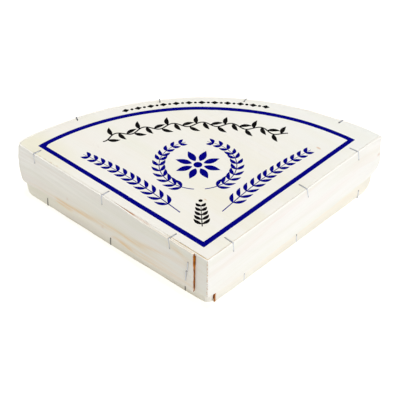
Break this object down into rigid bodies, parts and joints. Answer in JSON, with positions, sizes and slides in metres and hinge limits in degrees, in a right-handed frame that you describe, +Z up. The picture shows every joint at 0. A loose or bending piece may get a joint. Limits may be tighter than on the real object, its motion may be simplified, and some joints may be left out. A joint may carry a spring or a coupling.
{
  "type": "quarter-round wooden cheese box",
  "caption": "Shut quarter-round poplar box for a wedge of soft cheese: a stapled lid with a deep bent-wood strip, printed with a blue border, over a slightly smaller base.",
  "frame": {"origin": "on the underside, below the middle of the box", "axes": "+Z up, the point of the quarter towards -Y, its round side towards +Y, +X to the right seen from the point"},
  "size_m": [0.2715, 0.19, 0.0486],
  "materials": {
    "lid_board_poplar": "raw peeled poplar, printed in blue and black ink",
    "lid_strip_poplar": "raw peeled poplar",
    "base_poplar": "raw peeled poplar, a little darker",
    "staple_steel": "bright flat wire"
  },
  "bodies": {
    "root": {"lid_board": "lid_board_poplar", "lid_strip": "lid_strip_poplar", "base_strip": "base_poplar", "base_board": "base_poplar", "lid_staple_left_1": "staple_steel", "lid_staple_left_2": "staple_steel", "lid_staple_left_3": "staple_steel", "lid_staple_right_1": "staple_steel", "lid_staple_right_2": "staple_steel", "lid_staple_right_3": "staple_steel", "lid_staple_arc_1": "staple_steel", "lid_staple_arc_2": "staple_steel", "lid_staple_arc_3": "staple_steel", "lid_staple_arc_4": "staple_steel", "base_staple_left_1": "staple_steel", "base_staple_left_2": "staple_steel", "base_staple_left_3": "staple_steel", "base_staple_right_1": "staple_steel", "base_staple_right_2": "staple_steel", "base_staple_right_3": "staple_steel", "base_staple_arc_1": "staple_steel", "base_staple_arc_2": "staple_steel", "base_staple_arc_3": "staple_steel", "base_staple_arc_4": "staple_steel", "lap_staple_1": "staple_steel", "lap_staple_2": "staple_steel"}
  },
  "joints": []
}
